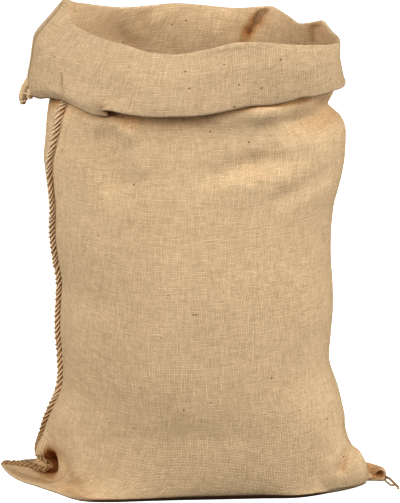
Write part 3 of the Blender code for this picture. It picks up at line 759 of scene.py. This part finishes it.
# Creases in the front or back view: side (-1 front, 1 back), x1, z1, x2, z2, half width, rise.
wallCreases = (
    (-1, 0.04, 0.606, 0.11, 0.612, 0.026, 0.012),
    (-1, 0.11, 0.612, 0.165, 0.618, 0.026, 0.011),
    (-1, -0.13, 0.6, -0.096, 0.577, 0.012, 0.005),
    (-1, -0.096, 0.577, -0.079, 0.524, 0.013, 0.006),
    (-1, -0.135, 0.56, -0.118, 0.5, 0.02, -0.008),
    (-1, -0.172, 0.592, -0.17, 0.545, 0.0045, -0.003),
    (-1, -0.158, 0.586, -0.161, 0.548, 0.0045, -0.0022),
    (-1, 0.029, 0.516, 0.09, 0.531, 0.015, -0.0055),
    (-1, 0.09, 0.531, 0.163, 0.53, 0.015, -0.0055),
    (-1, 0.06, 0.497, 0.14, 0.503, 0.022, 0.0035),
    (-1, 0.194, 0.5, 0.135, 0.475, 0.015, -0.0065),
    (-1, 0.156, 0.575, 0.162, 0.56, 0.018, -0.004),
    (-1, 0.11, 0.62, 0.116, 0.535, 0.01, -0.0022),
    (-1, -0.197, 0.612, -0.193, 0.592, 0.006, -0.008),
    (-1, 0.234, 0.061, 0.226, 0.038, 0.006, -0.008),
    (-1, 0.215, 0.05, 0.209, 0.026, 0.012, 0.003),
    (-1, -0.206, 0.034, -0.184, 0.004, 0.015, -0.015),
    (-1, 0.175, 0.627, 0.191, 0.6085, 0.006, -0.008),
    (-1, 0.191, 0.6085, 0.203, 0.6005, 0.006, -0.008),
    (1, 0.15, 0.56, 0.04, 0.48, 0.03, -0.006),
    (1, -0.09, 0.42, -0.15, 0.3, 0.035, -0.006),
    (1, 0.12, 0.16, 0.06, 0.06, 0.03, -0.005),
    (1, -0.04, 0.56, -0.11, 0.54, 0.025, 0.005),
)
neckCreases = (
    (1, -0.127, 0.685, -0.121, 0.663, 0.02, 0.005),
    (1, -0.121, 0.663, -0.112, 0.638, 0.02, 0.005),
    (1, -0.053, 0.709, -0.081, 0.69, 0.012, 0.003),
    (1, -0.081, 0.69, -0.105, 0.662, 0.012, 0.003),
    (1, -0.034, 0.709, -0.062, 0.69, 0.012, -0.004),
    (1, -0.062, 0.69, -0.079, 0.673, 0.012, -0.004),
    (1, -0.033, 0.653, -0.033, 0.628, 0.004, 0.004),
    (1, 0.113, 0.708, 0.098, 0.686, 0.008, 0.012),
    (1, 0.098, 0.686, 0.085, 0.668, 0.008, 0.012),
    (1, 0.085, 0.668, 0.078, 0.647, 0.008, 0.012),
    (1, 0.124, 0.706, 0.126, 0.651, 0.008, -0.005),
    (1, 0.043, 0.698, 0.031, 0.672, 0.018, -0.004),
    (1, 0.031, 0.672, 0.028, 0.647, 0.018, -0.004),
    (1, 0.187, 0.699, 0.189, 0.671, 0.008, 0.007),
)
cuffCreases = (
    (-1, -0.2015, 0.64, -0.193, 0.594, 0.005, -0.003),
    (-1, -0.12, 0.68, -0.06, 0.64, 0.03, 0.003),
    (-1, 0.02, 0.66, 0.06, 0.69, 0.035, -0.003),
    (-1, 0.14, 0.65, 0.17, 0.7, 0.03, 0.003),
)

# Girth in metres between each column and the side at the given share.
def sideDistance(shares, side):
    apart = np.abs(shares - side)
    return np.minimum(apart, 1 - apart) * clothSet["girth"]


# A level section of the wall: front and back halves |x|^n + |y|^q = 1 that meet at the side threads. A
# low q makes a sharper side, as at the side seam; a high n makes a flatter front.
def wallSection(height, shares):
    table = np.array(wallTable)
    leftX, leftY, rightX, rightY, frontY, backY, squareness, turn = smoothThrough(
        table[:, 0], table[:, 1:], np.array([height]))[0]
    near = np.exp(-(sideDistance(shares, 0) / clothSet["turnSpread"]) ** 2)
    turned = (shares + turn / clothSet["girth"] * near) % 1.0
    angle = np.linspace(0, np.pi, clothSet["outlineSteps"])
    across = np.sign(np.cos(angle)) * np.abs(np.cos(angle)) ** (2 / (squareness + clothSet["flatter"]))
    middle = np.array(((leftX + rightX) / 2, (leftY + rightY) / 2))
    half = np.array(((rightX - leftX) / 2, (rightY - leftY) / 2))
    points = np.zeros((len(shares), 3))
    for firstHalf, depth in ((True, frontY), (False, backY)):
        here = turned <= 0.5 if firstHalf else turned > 0.5
        run = -across if firstHalf else across
        line = middle + run[:, None] * half
        sharp = (clothSet["leftSide"] + (clothSet["rightSide"] - clothSet["leftSide"]) * (1 + run) / 2)
        line[:, 1] += (depth - middle[1]) * np.sin(angle) ** (2 / sharp)
        way = wayAlong(line)
        wanted = (turned[here] - (0 if firstHalf else 0.5)) * 2 * way[-1]
        points[here, :2] = linearAt(wanted, way, line)
    points[:, 2] = height
    return points


# The floor's edge, and the point of the floor's seam from which each column starts.
def floorOutline(shares):
    edge = np.zeros((len(shares), 3))
    start = np.zeros((len(shares), 3))
    ends = np.array(floorSeam)
    front = shares <= 0.5
    across = np.where(front, shares * 2, 2 - shares * 2)
    edge[front, :2] = alongLine(floorFront, across[front])
    edge[~front, :2] = alongLine(floorBack, across[~front])
    start[:, :2] = ends[0] + (ends[1] - ends[0]) * across[:, None]
    return edge, start


# Girth from a side thread, above 0 on the front.
def signedGirth(shares, side):
    apart = shares - side
    apart = np.where(apart > 0.5, apart - 1, apart)
    return (apart if side == 0 else -apart) * clothSet["girth"]


# An ear moves the corner's rows: at each of its threads by the way from the row's own place to the
# thread's route, and smoothly less between the threads and out to the ear's spread.
def addEar(rows, shares, side, threads, spread):
    girth = signedGirth(shares, side)
    order = np.argsort(girth)
    steps = np.linspace(0, 1, len(rows))
    knots, shifts = [], []
    for place, route in threads:
        own = np.stack([linearAt(place, girth[order], row[order]) for row in rows])
        line = np.concatenate((own[:1], np.array(route), own[-1:]))
        knots.append(place)
        shifts.append(alongLine(line, steps) - own)
    still = np.zeros_like(shifts[0])
    knots = [-2 * spread, -spread] + knots + [spread, 2 * spread]
    moved = smoothThrough(knots, [still, still] + shifts + [still, still], girth)
    rows += np.where(np.abs(girth) < spread, 1, 0)[None, :, None] * moved.transpose(1, 0, 2)


# Rows under the sack, round the pressed fold at the floor's edge, and up the rounded corner, which is
# a quadratic curve from the fold through a low middle point to the wall.
def lowerRows(shares):
    made = clothSet
    edge, start = floorOutline(shares)
    foot = wallSection(made["cornerHeight"], shares)
    outward = unit(edge - start)
    up = np.array((0.0, 0.0, 1.0))
    overhang = np.sum((edge - foot) * outward, axis=1, keepdims=True)
    ear = easedStep(overhang, 0, made["earReach"])
    contact = edge - outward * made["undercut"] * (1 - ear)
    rows = [start + (contact - start) * share for share in np.linspace(0, 1, made["floorRows"] + 1)]
    for share in np.linspace(0, 1, made["pressRows"] + 1)[1:]:
        turn = np.pi * (share - 0.5)
        folded = outward * made["earFold"] * np.cos(turn) + up * made["earFold"] * (1 + np.sin(turn))
        inward = made["undercut"] * (1 - share) ** 2 - made["frontBelly"] * share
        rounded = up * made["frontRise"] * share ** made["risePower"] - outward * inward
        rows.append(edge + folded * ear + rounded * (1 - ear))
    pressed = rows.pop()
    bend = foot * (1, 1, 0) + up * made["cornerLift"]
    corner = np.array([(1 - step) ** 2 * pressed + 2 * step * (1 - step) * bend + step**2 * foot
                       for step in np.linspace(0, 1, made["cornerRows"] + 1)])
    addEar(corner, shares, 0, leftEar, made["leftSpread"])
    addEar(corner, shares, 0.5, rightEar, made["rightSpread"])
    rows.extend(corner)
    return rows


# Rows up the neck to the mouth, over its fold as an arc that ends along the cuff, and down the cuff to
# the hem, bulged outward by the belly table's share. Near its edge the cuff rolls under at its left, and
# has a pleat.
def upperRows(shares):
    made = clothSet
    loop = roundLoop(rimTable, shares)
    bulge, loop = loop[:, 3:], loop[:, :3]
    hem = roundLoop(hemTable, shares)
    neck = wallSection(wallTable[-1][0], shares)
    tangent = np.roll(loop, -1, axis=0) - np.roll(loop, 1, axis=0)
    outward = unit(np.stack((tangent[:, 1], -tangent[:, 0], np.zeros(len(loop))), axis=1))
    up = np.array((0.0, 0.0, 1.0))
    centre = loop - up * made["foldRadius"]
    mouth = centre - outward * made["foldRadius"]
    rows = [neck + (mouth - neck) * share for share in np.linspace(0, 1, made["neckRows"] + 1)[1:]]
    bellies = np.array(bellyTable)
    start = outward * bulge * bellies[1, 1] + (hem - loop) * bellies[1, 0]
    lean = np.arctan2(np.sum(start * outward, axis=1, keepdims=True), -start[:, 2:])
    for share in np.linspace(0, 1, made["foldRows"] + 1)[1:]:
        turn = share * (np.pi - np.clip(lean, 0, made["leanMost"]))
        rows.append(centre + made["foldRadius"] * (up * np.sin(turn) - outward * np.cos(turn)))
    shoulder = rows[-1]
    girth = shares * made["girth"]
    tuck = np.exp(-((girth - made["tuckAt"]) / made["tuckSpread"]) ** 2)[:, None]
    pleats = np.array(pleatTable)
    pleat = smoothThrough(pleats[:, 0], pleats[:, 1:], np.clip(girth, pleats[0, 0], pleats[-1, 0]))
    for share in np.linspace(0, 1, made["cuffRows"] + 1)[1:]:
        belly = bulge * smoothThrough(bellies[:, 0], bellies[:, 1], np.array([share]))[0]
        rolled = tuck * made["tuckDepth"] * easedStep(share, made["tuckFrom"], 1.0)
        row = shoulder + (hem - shoulder) * share + outward * (belly - rolled)
        rows.append(row + pleat * easedStep(share, made["pleatFrom"], 1.0))
    return rows


# Each crease adds rise * exp(-(distance / half width)^2) along Y, distance being to its line.
def addCreases(grid, rows, table):
    part = grid[rows]
    x, y, z = part[:, :, 0], part[:, :, 1], part[:, :, 2]
    moved = np.zeros(x.shape)
    for side, x1, z1, x2, z2, halfWidth, rise in table:
        span = np.array((x2 - x1, z2 - z1))
        share = np.clip(((x - x1) * span[0] + (z - z1) * span[1]) / (span @ span), 0, 1)
        apart = np.hypot(x - x1 - share * span[0], z - z1 - share * span[1])
        moved += side * rise * np.exp(-(apart / halfWidth) ** 2) * (y * side > 0)
    part[:, :, 1] += moved


# Beside the side seam the cloth sinks inward by depth * exp(-((girth - place) / width)^2).
def addGroove(rows, shares):
    made = clothSet
    girth = np.abs(signedGirth(shares, 0))
    sink = made["grooveDepth"] * np.exp(-((girth - made["grooveAt"]) / made["grooveWidth"]) ** 2)
    around = np.roll(rows, -1, axis=1) - np.roll(rows, 1, axis=1)
    outward = unit(np.stack((around[..., 1], -around[..., 0], np.zeros(rows.shape[:2])), axis=-1))
    rows -= outward * sink[None, :, None]


# The cloth's outer face as rows by columns, each column's share of the girth, and the first row of each
# stretch.
def clothGrid():
    made = clothSet
    even = np.arange(made["columns"]) / made["columns"]
    shares = even - made["crowding"] * np.sin(4 * np.pi * even)
    rows = lowerRows(shares)
    cornerTop = len(rows) - 1
    heights = np.linspace(made["cornerHeight"], wallTable[-1][0], made["wallRows"] + 1)
    rows.extend(wallSection(height, shares) for height in heights[1:])
    wallTop = len(rows) - 1
    rows.extend(upperRows(shares))
    grid = np.array(rows)
    pressed = made["floorRows"] + made["pressRows"]
    mouth = wallTop + made["neckRows"]
    shoulder = mouth + made["foldRows"]
    cuff = shoulder + made["cuffStart"]
    addGroove(grid[cornerTop:mouth], shares)
    addGroove(grid[cuff:], shares)
    addCreases(grid, slice(pressed, wallTop + 1), wallCreases)
    addCreases(grid, slice(wallTop - made["neckOverlap"], mouth), neckCreases)
    addCreases(grid, slice(cuff, None), cuffCreases)
    return grid, shares, {"pressed": pressed, "wallTop": wallTop, "mouth": mouth, "shoulder": shoulder}


# Quads between the grid's rows, thickened inward. Its UV is metres along the threads.
def makeCloth(grid, shares, marks):
    made = clothSet
    turnedRow = marks["mouth"] + made["turnedFrom"]
    rowCount, columnCount = grid.shape[:2]
    half = columnCount // 2
    # row 0 is the floor's seam, where the back columns use the front ones' points
    column = np.arange(columnCount)
    index = np.arange(rowCount * columnCount).reshape(rowCount, columnCount)
    seamColumn = np.minimum(column, columnCount - column)
    renumber = index - (columnCount - half - 1)
    renumber[0] = seamColumn
    points = np.concatenate((grid[0, :half + 1], grid[1:].reshape(-1, 3)))
    faces, corners = closedGridFaces(rowCount, columnCount)
    faces = renumber.ravel()[faces]
    # the second UV is the way along each column: above the mouth's fold from the hem, so threads run
    # level with it, and below the fold from the wall's top
    rise = np.linalg.norm(np.diff(grid, axis=0), axis=2)
    for _ in range(made["threadEasing"]):
        rise = (np.roll(rise, 1, axis=1) + 2 * rise + np.roll(rise, -1, axis=1)) / 4
    way = np.concatenate((np.zeros((1, columnCount)), np.cumsum(rise, axis=0)))
    way = np.concatenate((way, way[:, :1]), axis=1)
    around = np.broadcast_to(np.concatenate((shares, [1.0])) * made["girth"], way.shape)
    above = np.stack((around, way[-1] - way), axis=-1).reshape(-1, 2)
    below = np.stack((around, made["wallWay"] + way[marks["wallTop"]] - way), axis=-1).reshape(-1, 2)
    isBelow = np.repeat(np.arange(rowCount - 1) < turnedRow, columnCount)[:, None, None]
    uv = np.where(isBelow, below[corners], above[corners])
    cloth = meshPiece("jute_sack", points, faces.tolist(), uv.reshape(-1, 2), juteCloth)
    # the turned share, by which the material darkens the turned-out cuff as painted shade
    turned = cloth.data.attributes.new("turned", "FLOAT", "POINT")
    share = np.clip((np.arange(1, rowCount) - turnedRow) / made["turnedRows"], 0, 1)
    turned.data.foreach_set("value", np.concatenate((np.zeros(half + 1), np.repeat(share, columnCount))))
    solid = cloth.modifiers.new("cloth thickness", "SOLIDIFY")
    solid.thickness = made["thickness"]
    solid.offset = -1.0
    solid.use_even_offset = False
    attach(cloth, "root")
    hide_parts("sack_cloth")


sackGrid, sackShares, sackRows = clothGrid()
makeCloth(sackGrid, sackShares, sackRows)
print("cloth made")


seamSet = {
    "halfWidth": 0.0021,
    "halfHeight": 0.0049,
    "bodySeat": 0.0037,  # from the cloth's outer face to the middle of the flange
    "cuffSeat": 0.0072,
    "step": 0.004,
    "easing": 5,
    "coreStep": 0.0015,
    "coreShare": 0.86,  # the rolled edge inside the stitches
    "coreSides": 14,
    "coreAround": 0.02,  # metres of weave round it
    "coreEnd": 0.004,  # how far from each end it thins, to its tip's share
    "coreTip": 0.3,
    "belowMouth": 2,  # rows from the mouth to the body's flange, and from the fold to the cuff's
    "pastFold": 7,
    "pitch": 0.0091,  # from stitch to stitch
    "slant": 0.012,  # how far a stitch runs along the flange
    "stitchRadius": 0.0014,
    "stitchPoints": 16,
    "stitchSides": 6,
    "unevenness": 0.22,
    "highUneven": 0.4,
}
# Where the flange points, by its way from the corner's tip up the body, and from the fold down the cuff:
# metres, then x, y, z of the direction.
bodyFlange = (
    (0.0, 0.1, -0.8, -0.4), (0.045, 0.1, -0.9, -0.3), (0.075, 0.2, -0.9, -0.3), (0.088, 0.6, -0.8, -0.2),
    (0.097, 0.92, -0.38, 0.0), (0.106, 0.85, -0.5, 0.15), (0.113, 0.1, -1.0, 0.3), (0.12, -0.9, -0.4, 0.3),
    (0.128, -0.6, 0.8, 0.2), (0.14, -0.2, 0.98, 0.1), (0.165, -0.5, 0.85, 0.05), (0.19, -1.0, 0.0, 0.0),
    (0.295, -1.0, 0.05, 0.0), (0.395, -0.95, -0.3, 0.0), (0.515, -1.0, 0.0, 0.0), (0.59, -0.8, -0.6, 0.0),
    (0.64, -0.98, -0.2, 0.0), (0.72, -1.0, 0.1, 0.0), (0.9, -1.0, 0.1, 0.0),
)
# The cuff turns its other face out, so its flange lies behind it.
cuffFlange = (
    (0.0, 0.95, 0.3, 0.0), (0.2, 0.95, 0.3, 0.0),
)
tabSet = {
    "steps": 16,
    "thinnest": 0.25,  # of a lobe's radius
    "swellEnds": (0.06, 0.97),  # in half waves
    "swellPower": 0.6,
    "flatness": 0.6,
    "woundSteps": (1.5, 14.0),  # the stretch of a lobe that twine goes round
    "woundPoints": 90,
    "woundTurns": 0.24,  # in each step
    "woundShare": 0.8,  # of the stitches' radius
}
# The flange's loose end below the hem, two soft lobes with a slit between: radius, then x, y, z points.
tabLobes = (
    (0.008, ((-0.2465, 0.001, 0.634), (-0.252, 0.0, 0.622), (-0.2575, -0.003, 0.609),
        (-0.2605, -0.004, 0.598), (-0.2602, -0.004, 0.5905))),
    (0.0062, ((-0.244, -0.006, 0.62), (-0.2475, -0.009, 0.61), (-0.252, -0.009, 0.6))),
)


# The flange stands on the side thread, whose grid points are evened out along it, and points as its
# table says.
def flangeLine(thread, table, seat):
    made = seamSet
    way = wayAlong(thread)
    places = np.linspace(0, way[-1], int(way[-1] / made["step"]) + 1)
    table = np.array(table)
    facing = unit(linearAt(places, table[:, 0], table[:, 1:]))
    return eased(linearAt(places, way, thread) + facing * seat, made["easing"]), facing


# The rolled edge is an ellipse carried along the flange's middle; the twine is the same ellipse's
# outline wound along it, place = pitch * turn - slant / 2 * sin(turn), so it crosses the flange aslant.
def makeFlange(name, thread, table, seat, node):
    made = seamSet
    centre, facing = flangeLine(thread, table, seat)
    way = wayAlong(centre)

    # The middle's point, and the ways across and out of the flange, at ways along it.
    def frameAt(where):
        point = smoothThrough(way, centre, where)
        tangent = unit(smoothThrough(way, np.gradient(centre, way, axis=0), where))
        out = smoothThrough(way, facing, where)
        out = unit(out - tangent * np.sum(out * tangent, axis=1, keepdims=True))
        return point, np.cross(out, tangent), out

    places = np.linspace(0, way[-1], int(way[-1] / made["coreStep"]) + 1)
    point, across, out = frameAt(places)
    inward = np.clip(np.minimum(places, way[-1] - places) / made["coreEnd"], 0, 1)
    taper = inward ** 0.5 * (1 - made["coreTip"]) + made["coreTip"]
    rings = ringsAbout(point, made["halfWidth"] * across, made["halfHeight"] * out, made["coreSides"],
                       (made["coreShare"] * taper)[:, None])
    core = tubePiece(name + "_core", rings, places, made["coreAround"], seamEdge)
    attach(core, "root")
    turns = (way[-1] - 2 * made["slant"]) / made["pitch"]
    turn = np.linspace(0, 2 * np.pi * turns, int(turns * made["stitchPoints"]))
    rough = np.random.default_rng(7).normal(0, made["unevenness"], int(turns) + 3)
    wobble = np.interp(turn / (2 * np.pi), np.arange(len(rough)), rough)
    where = (made["slant"] + made["pitch"] * (turn / (2 * np.pi) + wobble)
             - made["slant"] / 2 * np.sin(turn))
    point, across, out = frameAt(np.clip(where, 0, way[-1]))
    high = made["halfHeight"] * (1 + made["highUneven"] * wobble)
    strand = (point + (made["halfWidth"] * np.cos(turn))[:, None] * across
              + (high * np.sin(turn))[:, None] * out)
    twine = twineTube(name, strand, made["stitchRadius"], seamTwine, made["stitchSides"])
    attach(twine, "root")
    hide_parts(node)


# A lobe is a flattened tube along its line, as thick as a power of sin along the way, and the seam's
# twine goes on round it as a helix.
def makeTab(made):
    count = np.arange(made["steps"])
    for number, (radius, points) in enumerate(tabLobes):
        line = alongLine(points, np.linspace(0, 1, made["steps"]))
        tangent = unit(np.gradient(line, axis=0))
        across = unit(np.cross(tangent, (0.0, 1.0, 0.0)))
        beyond = made["flatness"] * np.cross(tangent, across)
        swell = np.sin(np.linspace(*made["swellEnds"], made["steps"]) * np.pi) ** made["swellPower"]
        thick = radius * (made["thinnest"] + (1 - made["thinnest"]) * swell)
        rings = ringsAbout(line, across, beyond, seamSet["coreSides"], thick[:, None])
        lobe = tubePiece("tab_lobe_" + str(number), rings, wayAlong(line), seamSet["coreAround"], juteCloth)
        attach(lobe, "root")
        steps = np.linspace(*made["woundSteps"], made["woundPoints"])
        turn = (steps * 2 * np.pi * made["woundTurns"])[:, None]
        middle, aside, behind = (linearAt(steps, count, part) for part in (line, across, beyond))
        reach = np.interp(steps, count, thick)[:, None]
        helix = middle + reach * (np.cos(turn) * aside + np.sin(turn) * behind)
        wound = twineTube("tab_twine_" + str(number), helix, seamSet["stitchRadius"] * made["woundShare"],
                          seamTwine, seamSet["stitchSides"])
        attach(wound, "root")


makeFlange("body_stitches", sackGrid[sackRows["pressed"]:sackRows["mouth"] - seamSet["belowMouth"], 0],
           bodyFlange, seamSet["bodySeat"], "side_seam_body")
makeFlange("cuff_stitches", sackGrid[sackRows["shoulder"] + seamSet["pastFold"]:-1, 0],
           cuffFlange, seamSet["cuffSeat"], "side_seam_cuff")
makeTab(tabSet)
print("side seam made")


stageSet = {
    "floorSize": 60.0,
    "floorDrop": 0.0005,  # how far it lies under the sack
    "floorSeen": 0.9,
    "floorGlow": 1.0,  # lifts the floor that the camera sees to plain white
    "floorBounce": 0.18,
    "skyTop": 0.16,
    "skySide": 0.06,
    "skyRange": (0.0, 0.9),  # from how high up to how high up it brightens
    "lampAim": (0.0, 0.0, 0.4),
    "lampDistance": 3.6,
    "lampSize": 1.7,
    "lamps": (  # degrees round from the front and above the floor, and power
        (-58, 19, 74.0),
        (52, 19, 60.0),
        (-34, 42, 29.0),
        (58, 42, 45.0),
        (85, 15, 35.0),
        (-82, 15, 23.0),
        (5, 38, 26.0),
    ),
    "contrast": 0.8,  # the picture's gamma
}


# A pale floor, a sky that brightens upward, and wide lamps on a sphere about their aim, turned to it.
def makeStage(made):
    size = made["floorSize"] / 2
    mesh = bpy.data.meshes.new("floor")
    mesh.from_pydata([(-size, -size, 0), (size, -size, 0), (size, size, 0), (-size, size, 0)], [],
                     [(0, 1, 2, 3)])
    floor = placed("floor", mesh)
    floor.location.z = -made["floorDrop"]
    material, tree, shader = bareMaterial("pale floor")
    seen = shaderNode(tree, "LightPath", {}).outputs["Is Camera Ray"]
    bounce, white = made["floorBounce"], made["floorSeen"]
    tree.links.new(mixColour(tree, seen, (bounce, bounce, bounce, 1), (white, white, white, 1)),
                   shader.inputs["Base Color"])
    shader.inputs["Roughness"].default_value = 1.0
    shader.inputs["Specular IOR Level"].default_value = 0.0
    shader.inputs["Emission Color"].default_value = (1, 1, 1, 1)
    tree.links.new(calc(tree, "MULTIPLY", seen, made["floorGlow"]), shader.inputs["Emission Strength"])
    mesh.materials.append(material)

    world = bpy.data.worlds.new("studio")
    bpy.context.scene.world = world
    world.use_nodes = True
    tree = world.node_tree
    up = parts(tree, shaderNode(tree, "TexCoord", {}).outputs["Generated"])[2]
    sky = mapRange(tree, up, *made["skyRange"], made["skySide"], made["skyTop"])
    seen = shaderNode(tree, "LightPath", {}).outputs["Is Camera Ray"]
    back = tree.nodes["Background"]
    back.inputs["Color"].default_value = (1, 1, 1, 1)
    tree.links.new(shaderNode(tree, "Mix", {0: seen, 2: sky, 3: 1.0}).outputs[0],
                   back.inputs["Strength"])

    aim = np.array(made["lampAim"])
    for number, (turn, rise, power) in enumerate(made["lamps"]):
        around, above = math.radians(turn), math.radians(rise)
        way = np.array((math.sin(around) * math.cos(above), -math.cos(around) * math.cos(above),
                        math.sin(above)))
        lamp = bpy.data.lights.new("lamp" + str(number), "AREA")
        lamp.energy = power
        lamp.size = made["lampSize"]
        lampObject = placed("lamp" + str(number), lamp)
        lampObject.location = aim + way * made["lampDistance"]
        lampObject.rotation_euler = (math.pi / 2 - above, 0, around)


makeStage(stageSet)
bpy.context.scene.view_settings.view_transform = "Standard"
bpy.context.scene.view_settings.gamma = stageSet["contrast"]
print("stage made")
